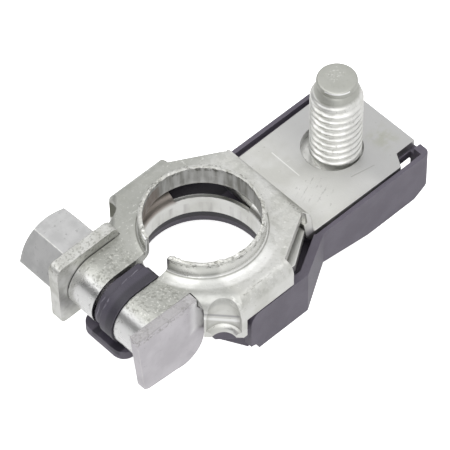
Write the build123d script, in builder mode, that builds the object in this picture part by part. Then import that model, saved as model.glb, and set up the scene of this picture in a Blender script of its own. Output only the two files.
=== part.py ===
from build123d import *

import os
from math import cos, radians, sin, sqrt, tan

os.makedirs("parts", exist_ok=True)

# Battery terminal clamp, millimetres.
# Origin: axis of the post bore, at the rim of the upper collar.
# +X towards the connecting stud, +Y towards the clamp nut, +Z up.

# ---------------------------------------------------------------- driving sizes
# Folded sheet
sheet_t = 1.5            # sheet thickness
bend_r = 0.35            # inside radius of the plain bends
collar_up_h = 2.9        # rim of the upper collar above its plate
collar_low_h = 3.3       # rim of the lower collar below its plate
bore_up_r = 8.6          # post bore in the upper collar
bore_low_r = 9.1         # post bore in the lower collar: the post widens downwards
collar_wall = 0.65       # wall left at the rims after drawing
draw_r = 1.5             # radius inside, over which a collar is drawn out of its plate
root_w = 2.2             # width of the hollow root round it
root_rise = 0.25         # and its rise, as a part of the collar's height
layer_gap = 1.5          # space between the two plates
slot_w = 4.5             # slot that the clamp bolt closes
lug_half = 7.3           # half width over the two bolt loops
loop_x = -14.95          # centre of the loops
loop_in_r = 3.2          # inside radius of the loops
loop_leave = 15          # degrees below level where the sheet leaves the loop
neck_r = 0.35            # inside radius where the loop turns into the lower plate

# Plan of the plates
plate_left_x = -9.3      # edge beside the loops
plate_corner_x = 4.6     # right end of the flanges
step_x = 13.45           # outer face of the step from the plate down to the tab
plate_end_w = 7.9        # half width of the plate at its right end
plate_end_x = 12.25
step_notch = 0.35        # small notch between the plate's corner and the step
step_top_w = 8.2         # half width of the step under the plate
lower_end_gap = 0.2      # lower plate's end to the inside of the step

# Flanges and corner claws
flange_y = 14.1          # outer face of the flanges
flange_h = 4.35          # their depth below the plate's top
claw_out = 13.7            # outer face of a corner claw, from the bore axis
claw_h = 7.9             # depth of a claw below the plate's top
claw_return = 0.7        # length of the flange that is as deep as the claw
pocket_along = 3.4           # middle of the half-round pocket, along the claw
pocket_r = 2.8           # its radius
pocket_top_r = 2.3       # and where it breaks into the plate
pocket_depth = 1.65      # how far it is pressed in
pocket_wall = 1.0        # sheet left round it
pocket_lip = 0.7         # lip that turns out at its foot
plate_clear = 0.2        # lower plate to the inside of flanges and claws
lower_left_x = -7.1      # edge of the lower plate beside the loops, clear of the bolt's head
lower_edge_w = 8.9       # half width of the lower plate at its right end
lower_edge_slope = 0.67  # slant of its oblique edges, which show beyond the upper plate's
lower_cut_x0 = 2.5       # the lower plate is cut away on the +Y side from here
lower_cut_x1 = 9.9       # to here, down to its collar

# Tab
tab_top_z = -7.4
tab_beyond = 9.3         # tab's end from the stud's axis
tab_half_w = 8.95        # at its far end
tab_root_w = 8.75        # half width at the step
tab_shift_y = -0.35      # the tab stands a little to one side
tab_hole_r = 4.65
tab_hole_dx = -0.3       # hole's centre from the stud's axis: the stud stands to one side of its play
tab_hole_dy = 0.45
tab_notch_l = 3.7        # corner notch: its length
tab_notch_y = 7.1        # and how far out its side lies
tab_notch_run = 1.3      # slant of its inner end

# Connecting stud, M8
stud_x = 26.8
stud_r = 3.95
stud_top_z = 8.2
stud_tip_r = 3.05
stud_tip_h = 1.3
stud_neck_r = 2.5
stud_lead_h = 2.6        # lead cone below the tip
stud_tip_edge = 0.35
stud_neck_step = 0.25
stud_shank_r = 3.6       # plain shank in the tab's hole: the rolled thread stands proud of it
stud_shank_rise = 0.1    # its top above the tab's
stud_head_af = 13.0
stud_head_h = 4.6
stud_head_break = 0.5

# Clamp bolt, washer and nut, M6
bolt_r = 2.95
bolt_slack_x = -0.2      # the bolt's axis lies off the loops' centre by its clearance
bolt_slack_z = 0.12
head_t = 1.5
head_top = [(-5.75, 4.9), (5.7, 4.5), (5.7, 2.85), (6.6, 1.6)]      # its sheared outline, from the bolt's axis
head_nose = [(6.6, 1.6), (7.05, -1.1), (6.9, -5.2)]
head_bend = [(6.9, -5.2), (5.6, -7.6), (1.8, -8.4)]
head_foot = [(1.8, -8.4), (-3.8, -7.8), (-4.65, -7.3), (-5.75, 4.9)]
thread_clear = 0.05
washer_t = 2.0
washer_w = 11.8
washer_h = 12.3
washer_hole_clear = 0.1
washer_rise = 0.2        # its outline stands off the bolt's axis
washer_shift = -0.25
washer_break = 0.15      # its broken edges
washer_turn = 1
washer_corner_r = 1.2
nut_af = 10.0
nut_h = 7.5
nut_turn = -2
nut_chamfer = 0.8
bolt_end_recess = 1.3    # bolt's end inside the nut
thread_chamfer = 0.4
seat_gap = 0.03          # between faces that press on each other

# Plastic carrier
wall_t = 1.3
rest_z = -16.2           # lowest faces of the carrier
base_gap = 0.2           # lower collar's rim to the base
base_t = 2.2
base_hole_r = 9.4
base_tip_x = -11.0       # plan of its left end: beside the tongue
base_tip_y = 4.0
base_lug_x = -9.4        # under the loops' ends
base_lug_y = 7.0
base_notch_x = -7.3      # beside the bolt's head
base_notch_y = 10.2
base_front_y = 13.3      # where it meets the side wall's end
base_rib_x0 = -5.8       # rib under the base, from beside the post to the side wall
base_rib_y0 = 7.85
base_rib_x1 = -3.2
front_y = 14.0           # outer face of the side walls
front_x0 = -3.7
front_foot_r = 1.6       # rounding of the side walls' lower corners
front_x1 = 7.6
wall_top_gap = 0.25      # flange's lower edge to the wall under it
front_corner_r = 2.4
box_x0 = 14.4            # tab box
box_rim_t = 0.7          # its walls beside the tab; below they are wall_t thick
rim_gap = 0.55           # tab's width to the rim, on average
rim_drop = 0.35          # rim below the tab's top
end_gap = 0.3            # tab's end to the outer face of the far wall
box_start_z = -14.5      # lower edges: at box_x0
box_slope_x1 = 23.8      # where they reach rest_z
box_slope_x2 = 33.3      # where they leave it
box_end_z = -14.35       # at the far wall
post_y = 8.0             # far wall stands up to the rim beyond this
post_corner_r = 1.0
window_y = 7.4           # window of the far wall
bridge_h = 1.65          # wall left over it
deck_t = 1.4
deck_gap = 0.05          # tab to the deck that carries it
deck_cut_x = 31.2        # openings of the deck under the tab's notched corners
deck_cut_y = 7.3
well_wall = 1.3          # hexagonal well for the stud's head
well_clear = 0.4
well_floor_t = 1.0
rib_t = 1.2
spacer_front_clear = 0.05    # tongue between the loops
spacer_rear_clear = 0.55
spacer_step_y = 0.3      # edge of its raised band
spacer_proud = 0.3       # raised band beyond the loops
spacer_set_back = 0.15   # rear band inside the loops
spacer_end_x = -10.3
spacer_chamfer = 0.7
spacer_hole_clear = 0.35     # round the clamp bolt
foot_gap = 0.1           # loops to the foot under them
foot_z = -14.0
foot_left_x = -19.3
foot_right_x = -9.6
foot_y0 = -3.8
foot_y1 = 5.4
foot_corner_r = 2.0

# ---------------------------------------------------------------- worked out
plate_top_z = -collar_up_h
plate_bot_z = plate_top_z - sheet_t
lower_top_z = plate_bot_z - layer_gap
lower_bot_z = lower_top_z - sheet_t
lower_rim_z = lower_bot_z - collar_low_h
tab_bot_z = tab_top_z - sheet_t
tab_end_x = stud_x + tab_beyond
tab_notch_x = tab_end_x - tab_notch_l
loop_out_r = loop_in_r + sheet_t
loop_z = plate_top_z - loop_out_r
bolt_x = loop_x + bolt_slack_x
bolt_z = loop_z + bolt_slack_z
flange_bot_z = plate_top_z - flange_h
claw_bot_z = plate_top_z - claw_h
base_top_z = lower_rim_z - base_gap
base_bot_z = base_top_z - base_t
wall_top_z = flange_bot_z - wall_top_gap
box_half_w = tab_half_w + rim_gap + box_rim_t
box_x1 = tab_end_x + end_gap


def at_claw(n, u):
    """Plan point on the +Y side: n out from the bore axis, u along the face of a corner claw."""
    return ((u - n) / sqrt(2), (n + u) / sqrt(2))


def claw_corner(n, y):
    """Plan point at which a flange face y meets a claw face n."""
    return at_claw(n, y * sqrt(2) - n)


def claw_at_x(n, x):
    """Plan point at which a claw face n reaches x."""
    return at_claw(n, n + x * sqrt(2))


# ---------------------------------------------------------------- clamp body
def mid(outer):
    """Middle of the sheet whose outer or upper face lies at the given place."""
    return outer - sheet_t / 2


def outside_plan(left_x, flange_face, claw_face, right_end, z):
    """All that lies outside the loops and a plate with the given right end, as a sketch at height z."""
    far = 2 * tab_end_x
    half = [
        (-far / 2, lug_half), (left_x, lug_half), claw_at_x(claw_face, left_x),
        claw_corner(claw_face, flange_face), *right_end,
    ]
    with BuildSketch(Plane.XY.offset(z)) as around:
        Rectangle(2 * far, far)
        with BuildLine():
            Polyline(*half, *[(x, -y) for x, y in reversed(half)], close=True)
        make_face(mode=Mode.SUBTRACT)
    return around.sketch


def wedge(claw_face, flange_face, reach, z, depth, bend):
    """Block under the +Y side's flange and claw faces, its two top edges rounded like a bend."""
    left_x = plate_left_x - reach
    with BuildPart() as block:
        with BuildSketch(Plane.XY.offset(z)):
            with BuildLine():
                Polyline(
                    claw_at_x(claw_face, left_x), claw_corner(claw_face, flange_face),
                    (plate_corner_x + reach, flange_face), (plate_corner_x + reach, 0), (left_x, 0), close=True,
                )
            make_face()
        extrude(amount=-depth)
        rim = block.edges().filter_by(lambda e: abs((e @ 0).Z - z) < 0.01 and abs((e @ 1).Z - z) < 0.01)
        flange = rim.filter_by(lambda e: abs((e @ 0.5).Y - flange_face) < 0.01)
        claw = rim.filter_by(lambda e: abs((e @ 0.5).Y - (e @ 0.5).X - claw_face * sqrt(2)) < 0.01)
        fillet(flange + claw, radius=bend)
    return block.part


def skirt():
    """Flange and claw of the +Y side, bent down in one, with the plate between them and the X axis."""
    margin = 2 * sheet_t
    return_x = claw_corner(claw_out, flange_y)[0] + claw_return
    pocket_axis = claw_out - pocket_depth + pocket_r
    pocket_at = at_claw(pocket_axis, pocket_along)
    with BuildPart() as shell:
        add(wedge(claw_out, flange_y, margin, plate_top_z, claw_h, bend_r + sheet_t))
        add(
            wedge(claw_out - sheet_t, flange_y - sheet_t, 2 * margin, plate_bot_z, claw_h, bend_r),
            mode=Mode.SUBTRACT,
        )
        # the half-round pocket: its wall, then the punch that presses it
        with BuildSketch(Plane.XY.offset(claw_bot_z)):
            with Locations(pocket_at):
                Circle(pocket_r + pocket_wall)
            with BuildLine():
                Polyline(
                    claw_at_x(claw_out, 2 * plate_left_x), claw_corner(claw_out, flange_y), (0, flange_y),
                    (0, 0), (2 * plate_left_x, 0), close=True,
                )
            make_face(mode=Mode.INTERSECT)
        extrude(amount=plate_bot_z - claw_bot_z)
        add(Pos(*pocket_at, 0) * pocket_punch(), mode=Mode.SUBTRACT)
        # cut to the plate's left edge, the flange's end and the flange's depth
        for x0, x1, z1 in (
            (3 * plate_left_x, plate_left_x, 0),
            (return_x, -plate_left_x, flange_bot_z),
            (plate_corner_x, -2 * plate_left_x, 0),
        ):
            with BuildSketch(Plane.XY.offset(z1)):
                with Locations((x0, 0)):
                    Rectangle(x1 - x0, 4 * flange_y, align=(Align.MIN, Align.CENTER))
            extrude(amount=2 * claw_bot_z, mode=Mode.SUBTRACT)
        # the claw's left end is square to its face
        claw_u0 = claw_out + plate_left_x * sqrt(2)
        with BuildSketch(Plane.XY.offset(plate_bot_z)):
            with BuildLine():
                Polyline(
                    at_claw(2 * claw_out, claw_u0), at_claw(0, claw_u0), at_claw(0, -claw_out), at_claw(2 * claw_out, -claw_out),
                    close=True,
                )
            make_face()
        extrude(amount=2 * claw_bot_z, mode=Mode.SUBTRACT)
    return shell.part


def pocket_punch():
    """Round punch about the Z axis, tapered towards the plate and narrowed at the foot so that a lip is left."""
    lip_r = pocket_r - pocket_lip
    lip_top_z = claw_bot_z + 1.6 * pocket_lip
    with BuildPart() as punch:
        with BuildSketch(Plane.XZ):
            with BuildLine():
                Polyline(
                    (0, 2 * claw_bot_z), (0, plate_top_z + sheet_t), (pocket_top_r, plate_top_z + sheet_t),
                    (pocket_top_r, plate_top_z), (pocket_r, mid(lower_top_z)), (pocket_r, lip_top_z),
                )
                RadiusArc((pocket_r, lip_top_z), (lip_r, claw_bot_z + pocket_lip / 2), -1.5 * pocket_lip)
                Polyline((lip_r, claw_bot_z + pocket_lip / 2), (lip_r, 2 * claw_bot_z), (0, 2 * claw_bot_z))
            make_face()
        revolve(axis=Axis.Z)
    return punch.part


with BuildPart() as clamp_body:
    # one strip: tab, step, upper plate, loop round the bolt, lower plate
    leave = radians(loop_leave)
    loop_mid_r = loop_in_r + sheet_t / 2
    leave_x = loop_x + loop_mid_r * cos(leave)
    leave_z = loop_z - loop_mid_r * sin(leave)
    neck_x = leave_x + (mid(lower_top_z) - leave_z) * tan(leave)
    lower_end_x = step_x - sheet_t - lower_end_gap
    with BuildSketch(Plane.XZ) as strip:
        with BuildLine() as fold:
            FilletPolyline(
                (tab_end_x, mid(tab_top_z)), (mid(step_x), mid(tab_top_z)), (mid(step_x), mid(plate_top_z)),
                (loop_x, mid(plate_top_z)),
                radius=bend_r + sheet_t / 2,
            )
            CenterArc((loop_x, loop_z), loop_mid_r, 90, 270 - loop_leave)
            FilletPolyline(
                (leave_x, leave_z), (neck_x, mid(lower_top_z)), (lower_end_x, mid(lower_top_z)),
                radius=neck_r + sheet_t / 2,
            )
        trace(line_width=sheet_t)
    extrude(amount=flange_y, both=True)
    mid_gap_z = (plate_bot_z + lower_top_z) / 2
    upper_half_w = flange_y - sheet_t - bend_r
    upper_end = [
        (plate_corner_x, upper_half_w), (plate_end_x, plate_end_w), (plate_end_x + step_notch, step_top_w),
        (plate_end_x + step_notch, flange_y), (tab_end_x, flange_y),
    ]
    upper_plan = outside_plan(plate_left_x, upper_half_w, claw_out - sheet_t - bend_r, upper_end, mid_gap_z)
    extrude(upper_plan, amount=layer_gap + 2 * sheet_t, mode=Mode.SUBTRACT)
    lower_out = claw_out - sheet_t - plate_clear
    lower_half_w = flange_y - sheet_t - plate_clear
    lower_corner_x = lower_end_x - (lower_half_w - lower_edge_w) / lower_edge_slope
    lower_end = [
        (lower_corner_x, lower_half_w), (lower_end_x, lower_edge_w), (lower_end_x, flange_y), (tab_end_x, flange_y),
    ]
    lower_plan = outside_plan(lower_left_x, lower_half_w, lower_out, lower_end, mid_gap_z)
    extrude(lower_plan, amount=rest_z, mode=Mode.SUBTRACT)

    # flanges and claws, bent down round the lower plate
    side_skirt = skirt()
    add(side_skirt)
    add(mirror(side_skirt, about=Plane.XZ))

    # collars drawn out of the plates
    with Locations((0, 0, plate_bot_z + sheet_t / 2)):
        Cylinder(bore_up_r + collar_wall + root_w, 2 * sheet_t, mode=Mode.SUBTRACT)
    with Locations((0, 0, lower_bot_z + sheet_t / 2)):
        Cylinder(bore_low_r + collar_wall + root_w, 2 * sheet_t, mode=Mode.SUBTRACT)
    for bore_r, plate_z, far_z, rim_z in (
        (bore_up_r, plate_top_z, plate_bot_z, 0),
        (bore_low_r, lower_bot_z, lower_top_z, lower_rim_z),
    ):
        out_r = bore_r + collar_wall
        root_r = out_r + root_w
        turn_z = plate_z + (rim_z - plate_z) * root_rise
        with BuildSketch(Plane.XZ) as collar:
            with BuildLine():
                Polyline((bore_r, plate_z), (bore_r, rim_z), (out_r, rim_z), (out_r, turn_z))
                Bezier((out_r, turn_z), (out_r, plate_z), (root_r, plate_z))
                Polyline((root_r, plate_z), (root_r, far_z), (bore_r + draw_r, far_z))
                RadiusArc((bore_r + draw_r, far_z), (bore_r, plate_z), draw_r if rim_z > plate_z else -draw_r)
            make_face()
        revolve(axis=Axis.Z)

    # cut-out of the lower plate on the +Y side: only the hoop of the collar runs on
    for bottom_z, top_z, hoop_r in (
        (lower_rim_z, lower_bot_z, bore_low_r + collar_wall), (lower_bot_z, mid_gap_z, bore_up_r),
    ):
        with BuildSketch(Plane.XY.offset(bottom_z)):
            with Locations((lower_cut_x0, 0)):
                Rectangle(lower_cut_x1 - lower_cut_x0, flange_y - sheet_t, align=(Align.MIN, Align.MIN))
            Circle(hoop_r, mode=Mode.SUBTRACT)
        extrude(amount=top_z - bottom_z, mode=Mode.SUBTRACT)

    # room for the bolt's head between the lower plate and the claw
    for side in (1, -1):
        with Locations((lower_left_x, side * (lug_half + head_t / 2 + plate_clear / 2), lower_rim_z)):
            Box(
                2 * root_w, head_t + plate_clear, plate_bot_z - lower_rim_z,
                align=(Align.MAX, Align.CENTER, Align.MIN), mode=Mode.SUBTRACT,
            )

    # slot for clamping
    slot_x0 = loop_x - 2 * loop_out_r
    with Locations((slot_x0, 0, loop_z)):
        Box(-slot_x0, slot_w, 4 * loop_out_r, align=(Align.MIN, Align.CENTER, Align.CENTER), mode=Mode.SUBTRACT)

    # step: its ends spread towards the tab
    with BuildSketch(Plane.YZ.offset(lower_end_x)):
        for side in (1, -1):
            root_y = side * tab_root_w + tab_shift_y
            with BuildLine():
                Polyline(
                    (side * step_top_w, plate_top_z), (root_y, tab_top_z), (root_y, 2 * tab_bot_z),
                    (2 * side * flange_y, 2 * tab_bot_z), (2 * side * flange_y, plate_top_z), close=True,
                )
            make_face()
    extrude(amount=step_x + bend_r - lower_end_x, mode=Mode.SUBTRACT)

    # tab: its sides and notched corners, and the hole for the stud
    with BuildSketch(Plane.XY.offset(tab_bot_z)):
        with Locations((stud_x + tab_hole_dx, tab_hole_dy)):
            Circle(tab_hole_r)
        for side in (1, -1):
            with BuildLine():
                Polyline(
                    (step_x + bend_r, side * tab_root_w + tab_shift_y),
                    (tab_notch_x - tab_notch_run, side * tab_half_w + tab_shift_y), (tab_notch_x, side * tab_notch_y),
                    (2 * tab_end_x, side * tab_notch_y), (2 * tab_end_x, 2 * side * flange_y),
                    (step_x + bend_r, 2 * side * flange_y), close=True,
                )
            make_face()
    extrude(amount=sheet_t, mode=Mode.SUBTRACT)

clamp_body.part.label = "clamp_body"
export_step(clamp_body.part, "parts/clamp_body.step")


# ---------------------------------------------------------------- clamp bolt, washer, nut
washer_y0 = lug_half + seat_gap
nut_y0 = washer_y0 + washer_t + seat_gap
nut_y1 = nut_y0 + nut_h
bolt_end_y = nut_y1 - bolt_end_recess
head_y1 = -lug_half - seat_gap


def bolt_section(y):
    """Plane square to the clamp bolt at y, its X along +X and its Y along +Z."""
    return Plane(origin=(bolt_x, y, bolt_z), x_dir=(1, 0, 0), z_dir=(0, -1, 0))


with BuildPart() as clamp_bolt:
    # flat head sheared from plate, and the shank
    with BuildSketch(bolt_section(head_y1)):
        with BuildLine():
            Polyline(*head_top)
            ThreePointArc(*head_nose)
            ThreePointArc(*head_bend)
            Polyline(*head_foot)
        make_face()
    extrude(amount=head_t)
    with BuildSketch(bolt_section(head_y1)):
        Circle(bolt_r)
    extrude(amount=head_y1 - bolt_end_y)
    end_rim = clamp_bolt.edges().filter_by(GeomType.CIRCLE).sort_by(Axis.Y)[-1]
    chamfer(end_rim, length=thread_chamfer)

clamp_bolt.part.label = "clamp_bolt"
export_step(clamp_bolt.part, "parts/clamp_bolt.step")

with BuildPart() as plate_washer:
    with BuildSketch(bolt_section(washer_y0)):
        with Locations((washer_shift, washer_rise)):
            RectangleRounded(washer_w, washer_h, washer_corner_r, rotation=washer_turn)
        Circle(bolt_r + washer_hole_clear, mode=Mode.SUBTRACT)
    extrude(amount=-washer_t)
    outer_face = plate_washer.faces().sort_by(Axis.Y)[-1]
    chamfer(outer_face.outer_wire().edges(), length=washer_break)

plate_washer.part.label = "plate_washer"
export_step(plate_washer.part, "parts/plate_washer.step")

with BuildPart() as clamp_nut:
    with BuildSketch(bolt_section(nut_y0)):
        RegularPolygon(nut_af / 2, 6, major_radius=False, rotation=nut_turn)
        Circle(bolt_r + thread_clear, mode=Mode.SUBTRACT)
    extrude(amount=-nut_h)
    # corners rounded off at the outer end
    with BuildSketch(Plane(origin=(bolt_x, 0, bolt_z), x_dir=(1, 0, 0), z_dir=(0, 0, 1))):
        with BuildLine():
            face_r = nut_af / 2 - nut_chamfer / 2
            beyond_r = nut_af
            beyond_y = nut_y1 + nut_chamfer
            drop = (beyond_r - face_r) * tan(radians(30))
            Polyline(
                (face_r, nut_y1), (beyond_r, nut_y1 - drop), (beyond_r, beyond_y), (face_r, beyond_y), close=True,
            )
        make_face()
    revolve(axis=Axis((bolt_x, 0, bolt_z), (0, 1, 0)), mode=Mode.SUBTRACT)

clamp_nut.part.label = "clamp_nut"
export_step(clamp_nut.part, "parts/clamp_nut.step")


# ---------------------------------------------------------------- connecting stud
stud_head_z = tab_bot_z - seat_gap
neck_z = stud_top_z - stud_tip_h
lead_z = neck_z - stud_lead_h
shank_z = tab_top_z + stud_shank_rise
with BuildPart() as stud_bolt:
    with BuildSketch(Plane.XY.offset(stud_head_z)):
        with Locations((stud_x, 0)):
            RegularPolygon(stud_head_af / 2, 6, major_radius=False, rotation=30)
    extrude(amount=-stud_head_h)
    chamfer(stud_bolt.faces().sort_by(Axis.Z)[0].edges(), length=stud_head_break)
    with BuildSketch(Plane(origin=(stud_x, 0, 0), x_dir=(1, 0, 0), z_dir=(0, -1, 0))):
        with BuildLine():
            Polyline(
                (0, stud_head_z - stud_head_h / 2), (stud_shank_r, stud_head_z - stud_head_h / 2),
                (stud_shank_r, shank_z), (stud_r, shank_z), (stud_r, lead_z),
                (stud_neck_r + stud_neck_step, neck_z - stud_neck_step), (stud_neck_r, neck_z),
                (stud_tip_r, neck_z + stud_tip_edge), (stud_tip_r, stud_top_z - stud_tip_edge),
                (stud_tip_r - stud_tip_edge, stud_top_z), (0, stud_top_z), close=True,
            )
        make_face()
    revolve(axis=Axis((stud_x, 0, 0), (0, 0, 1)))

stud_bolt.part.label = "stud_bolt"
export_step(stud_bolt.part, "parts/stud_bolt.step")


# ---------------------------------------------------------------- plastic carrier
deck_top_z = tab_bot_z - deck_gap
deck_bot_z = deck_top_z - deck_t
rim_z = tab_top_z - rim_drop
rim_in_y = box_half_w - box_rim_t
box_in_y = box_half_w - wall_t
box_in_x1 = box_x1 - wall_t
well_af = stud_head_af + 2 * well_clear
well_z = stud_head_z - stud_head_h - well_clear
foot_top_z = loop_z - loop_out_r - foot_gap


def both_sides(points):
    """Polygon through points of the +Y side and their mirror images."""
    with BuildSketch() as plan:
        with BuildLine():
            Polyline(*points, *[(x, -y) for x, y in reversed(points)], close=True)
        make_face()
    return plan.sketch


def wall_plan(inset):
    """Plan within the side walls, oblique walls and tab box, drawn in by inset."""
    run_x, run_y = box_x0 - front_x1, front_y - box_half_w
    back = inset * (sqrt(run_x**2 + run_y**2) - run_x) / run_y
    return both_sides([
        (front_x0 - 2 * inset, front_y - inset), (front_x1 - back, front_y - inset),
        (box_x0 - back, box_half_w - inset), (box_x1 - inset, box_half_w - inset),
    ])


def slab(plan, bottom_z, top_z):
    """Plan extruded between two heights."""
    with BuildPart() as plate:
        extrude(Pos(0, 0, bottom_z) * plan, amount=top_z - bottom_z)
    return plate.part


def between(x0, x1, y, bottom_z, top_z):
    """Block from x0 to x1, y to either side of the X axis."""
    return slab(both_sides([(x0, y), (x1, y)]), bottom_z, top_z)


def hexagon(af, bottom_z, top_z):
    """Hexagonal prism about the stud's axis."""
    with BuildPart() as prism:
        with BuildSketch(Plane.XY.offset(bottom_z)):
            with Locations((stud_x, 0)):
                RegularPolygon(af / 2, 6, major_radius=False, rotation=30)
        extrude(amount=top_z - bottom_z)
    return prism.part


def tongue(band_r, y0, y1):
    """Slice of the tongue between the loops: round above the bolt, square towards the post."""
    with BuildPart() as slice_part:
        with BuildSketch(Plane(origin=(loop_x, y1, loop_z), x_dir=(1, 0, 0), z_dir=(0, -1, 0))):
            Circle(band_r)
            with BuildLine():
                Polyline(
                    (0, band_r), (spacer_end_x - loop_x - spacer_chamfer, band_r),
                    (spacer_end_x - loop_x, band_r - spacer_chamfer), (spacer_end_x - loop_x, base_bot_z - loop_z),
                    (0, base_bot_z - loop_z), close=True,
                )
            make_face()
        extrude(amount=y1 - y0)
    return slice_part.part


def outer_walls():
    """Side walls, oblique walls and box as one block, its far corners rounded."""
    with BuildPart() as block:
        add(slab(wall_plan(0), rest_z, rim_z))
        fillet(block.edges().filter_by(Axis.Z).sort_by(Axis.X)[-2:], radius=post_corner_r)
    return block.part


with BuildPart() as insulator_carrier:
    # side walls, oblique walls and box, their edges stepped and sloped
    add(outer_walls())
    add(slab(wall_plan(wall_t), rest_z, rim_z), mode=Mode.SUBTRACT)
    with BuildSketch(Plane.XZ):
        with BuildLine():
            Line((front_x0, wall_top_z - front_corner_r), (front_x0, rest_z + front_foot_r))
            RadiusArc((front_x0, rest_z + front_foot_r), (front_x0 + front_foot_r, rest_z), front_foot_r)
            Polyline(
                (front_x0 + front_foot_r, rest_z), (front_x1, rest_z), (box_x0, box_start_z),
                (box_slope_x1, rest_z), (box_slope_x2, rest_z), (box_x1, box_end_z), (box_x1, rim_z),
                (box_x0, rim_z), (box_x0, wall_top_z), (front_x0 + front_corner_r, wall_top_z),
            )
            RadiusArc(
                (front_x0 + front_corner_r, wall_top_z), (front_x0, wall_top_z - front_corner_r), -front_corner_r,
            )
        make_face()
    extrude(amount=2 * front_y, both=True, mode=Mode.INTERSECT)

    # base under the lower collar, the deck under the tab, and a wall between the two
    base_plan = both_sides([
        (base_tip_x, base_tip_y), (base_lug_x, base_lug_y), (base_notch_x, base_lug_y), (base_notch_x, base_notch_y),
        (front_x0, base_front_y), (front_x0, front_y), (front_x1, front_y), (box_x0, box_half_w),
    ])
    add(slab(base_plan, base_bot_z, base_top_z))
    add(between(box_x0 - wall_t, box_x0, box_in_y, base_bot_z, deck_top_z))
    add(between(box_x0 - wall_t, box_in_x1, box_in_y, deck_bot_z, deck_top_z))
    for side in (1, -1):
        with BuildSketch(Plane.XY.offset(rest_z)):
            with BuildLine():
                Polyline(
                    (base_rib_x0, side * base_rib_y0), (base_rib_x1, side * (front_y - wall_t)),
                    (base_rib_x1 + wall_t, side * (front_y - wall_t)), (base_rib_x0 + wall_t, side * base_rib_y0),
                    close=True,
                )
            make_face()
        extrude(amount=base_bot_z - rest_z)
    with Locations((0, 0, rest_z)):
        Cylinder(
            base_hole_r, base_top_z - rest_z, align=(Align.CENTER, Align.CENTER, Align.MIN), mode=Mode.SUBTRACT,
        )

    # room for the tab: thinner rim, far wall under the tab, window, openings at the corners
    add(between(step_x, box_in_x1, rim_in_y, deck_top_z, rim_z), mode=Mode.SUBTRACT)
    add(between(box_in_x1, 2 * box_x1, post_y, deck_top_z, rim_z), mode=Mode.SUBTRACT)
    add(between(box_in_x1, 2 * box_x1, window_y, rest_z, deck_top_z - bridge_h), mode=Mode.SUBTRACT)
    for side in (1, -1):
        with Locations(((deck_cut_x + box_in_x1) / 2, side * (deck_cut_y + box_in_y) / 2, deck_bot_z)):
            Box(
                box_in_x1 - deck_cut_x, box_in_y - deck_cut_y, deck_t,
                align=(Align.CENTER, Align.CENTER, Align.MIN), mode=Mode.SUBTRACT,
            )

    # well for the stud's head, tied to the walls by a rib
    add(hexagon(well_af + 2 * well_wall, well_z - well_floor_t, deck_bot_z))
    add(between(stud_x - rib_t / 2, stud_x + rib_t / 2, box_in_y, well_z - well_floor_t, deck_bot_z))
    add(hexagon(well_af, well_z, deck_top_z), mode=Mode.SUBTRACT)

    # tongue between the loops, its foot under them, and the hole for the clamp bolt
    add(tongue(loop_out_r + spacer_proud, -slot_w / 2 + spacer_front_clear, spacer_step_y))
    add(tongue(loop_out_r - spacer_set_back, spacer_step_y, slot_w / 2 - spacer_rear_clear))
    with BuildSketch(Plane.XY.offset(foot_z)):
        with Locations(((foot_left_x + foot_right_x) / 2, (foot_y0 + foot_y1) / 2)):
            RectangleRounded(foot_right_x - foot_left_x, foot_y1 - foot_y0, foot_corner_r)
    extrude(amount=foot_top_z - foot_z)
    with BuildSketch(bolt_section(-slot_w)):
        Circle(bolt_r + spacer_hole_clear)
    extrude(amount=-2 * slot_w, mode=Mode.SUBTRACT)

insulator_carrier.part.label = "insulator_carrier"
export_step(insulator_carrier.part, "parts/insulator_carrier.step")
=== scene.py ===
# %% [markdown]
# # Battery terminal clamp
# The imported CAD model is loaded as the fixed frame. This script adds what is too fine for it, such as the rolled
# thread and the torn rim, gives every piece its finish, and sets the floor, the light and the camera. Everything is
# in metres in the CAD's frame: the origin is on the post bore's axis at the rim of the upper collar, +X towards the
# stud, +Y along the clamp bolt towards its nut, +Z up. Shapes are written in millimetres and scaled by MM.

import math

import bpy
from mathutils import Matrix, Vector, noise


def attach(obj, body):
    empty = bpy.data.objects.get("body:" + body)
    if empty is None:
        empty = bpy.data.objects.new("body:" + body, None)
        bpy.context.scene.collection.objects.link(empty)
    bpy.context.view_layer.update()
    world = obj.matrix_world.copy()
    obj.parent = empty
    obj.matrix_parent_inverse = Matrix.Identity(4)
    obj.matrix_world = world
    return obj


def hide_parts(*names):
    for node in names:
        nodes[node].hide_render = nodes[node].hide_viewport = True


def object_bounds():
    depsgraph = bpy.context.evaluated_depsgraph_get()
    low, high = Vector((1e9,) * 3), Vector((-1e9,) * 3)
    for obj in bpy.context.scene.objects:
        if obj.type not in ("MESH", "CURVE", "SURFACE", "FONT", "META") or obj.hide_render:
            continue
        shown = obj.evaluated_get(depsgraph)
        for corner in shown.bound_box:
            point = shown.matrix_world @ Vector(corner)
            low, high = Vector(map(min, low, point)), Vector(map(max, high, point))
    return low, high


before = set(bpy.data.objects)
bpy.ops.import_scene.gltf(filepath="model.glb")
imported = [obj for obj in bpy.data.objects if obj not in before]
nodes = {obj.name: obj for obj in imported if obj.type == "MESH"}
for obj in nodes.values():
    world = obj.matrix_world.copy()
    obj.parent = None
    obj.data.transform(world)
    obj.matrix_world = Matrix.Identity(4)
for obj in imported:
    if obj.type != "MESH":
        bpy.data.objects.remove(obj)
scene = bpy.context.scene
MM = 0.001
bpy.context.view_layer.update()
print("CAD nodes:", sorted(nodes))

# %% [markdown]
# ## Helpers
# A material is a small graph of nodes. One function adds a node, sets its values and links, and hands back the
# output that the next node needs. Colours are written as sRGB hex and turned to linear, which shading works in.

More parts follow.
